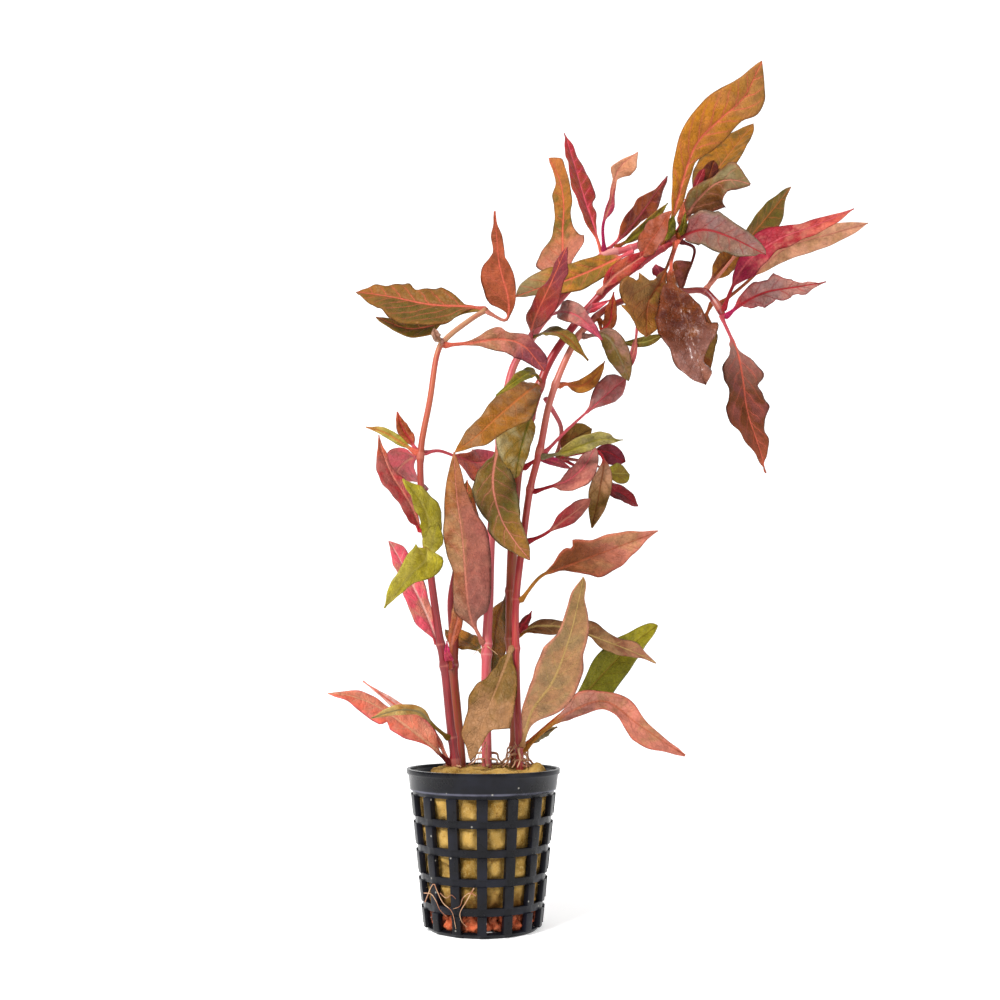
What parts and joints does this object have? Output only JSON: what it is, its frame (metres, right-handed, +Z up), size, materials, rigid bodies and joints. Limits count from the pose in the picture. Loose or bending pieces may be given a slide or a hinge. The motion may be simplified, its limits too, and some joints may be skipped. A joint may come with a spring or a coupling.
{
  "type": "potted aquarium plant",
  "caption": "Potted red aquarium stem plant with lance-shaped leaves, a bunch of arching stems set in rock wool in a black plastic net pot.",
  "frame": {"origin": "centre of the pot's base, on the surface it stands on", "axes": "+Z up along the pot's axis, -Y towards the front that the picture shows, +X the side that the stems arch to"},
  "size_m": [0.1913, 0.0746, 0.2961],
  "materials": {
    "pot_plastic": "moulded charcoal plastic, slightly glossy, wet",
    "rock_wool": "damp ochre mineral fibre",
    "clay": "rough fired clay",
    "stem": "smooth crimson to coral plant stem",
    "leaf_olive": "waxy leaf, olive to ochre with coral veins",
    "leaf_russet": "waxy leaf, russet to salmon",
    "leaf_crimson": "waxy leaf, crimson to hot pink",
    "leaf_mauve": "waxy leaf underside, dusty mauve"
  },
  "bodies": {
    "root": {"net_pot": "pot_plastic", "rock_wool": "rock_wool", "clay_granules": "clay", "stem_left": "stem", "stem_left_back": "stem", "stem_middle": "stem", "stem_main": "stem", "stem_slender": "stem", "side_shoot": "stem", "leaf_left_top": "leaf_olive", "leaf_left_upright": "leaf_russet", "leaf_left_salmon": "leaf_russet", "leaf_pair_red": "leaf_russet", "leaf_long_olive": "leaf_olive", "leaf_crimson_upright": "leaf_crimson", "leaf_tall_orange": "leaf_olive", "leaf_pink_flag": "leaf_crimson", "leaf_brown_red": "leaf_russet", "leaf_terracotta": "leaf_russet", "leaf_top_large": "leaf_olive", "leaf_top_behind": "leaf_olive", "leaf_top_curled": "leaf_olive", "leaf_mauve_grey": "leaf_mauve", "leaf_right_olive": "leaf_olive", "leaf_right_crimson": "leaf_crimson", "leaf_right_peach": "leaf_russet", "leaf_right_mauve": "leaf_mauve", "leaf_hanging_tip": "leaf_russet", "leaf_glossy_brown": "leaf_russet", "leaf_brown_behind": "leaf_russet", "leaf_crinkled": "leaf_olive", "leaf_dusty_pink": "leaf_mauve", "leaf_green_small": "leaf_olive", "leaf_ochre_large": "leaf_olive", "leaf_magenta_left": "leaf_crimson", "leaf_dark_hanging": "leaf_olive", "leaf_green_behind": "leaf_olive", "leaf_mauve_large": "leaf_mauve", "leaf_lime_upper": "leaf_olive", "leaf_lime_lower": "leaf_olive", "leaf_hot_pink": "leaf_crimson", "leaf_purple_left": "leaf_mauve", "leaf_crimson_left": "leaf_crimson", "leaf_tan_large": "leaf_russet", "leaf_salmon_brown": "leaf_russet", "leaf_brown_narrow": "leaf_russet", "leaf_green_low": "leaf_olive", "leaf_pink_low": "leaf_russet", "leaf_tan_low": "leaf_russet", "leaf_olive_low": "leaf_olive", "leaf_dark_between": "leaf_olive", "leaf_back_tip": "leaf_olive", "leaf_coral_low": "leaf_crimson", "leaf_mauve_cup": "leaf_mauve", "leaf_olive_fold": "leaf_olive", "leaf_pale_green": "leaf_olive", "leaf_salmon_mauve": "leaf_mauve", "leaf_olive_hanging": "leaf_olive", "leaf_crimson_small": "leaf_crimson", "leaf_wine": "leaf_crimson"}
  },
  "joints": []
}
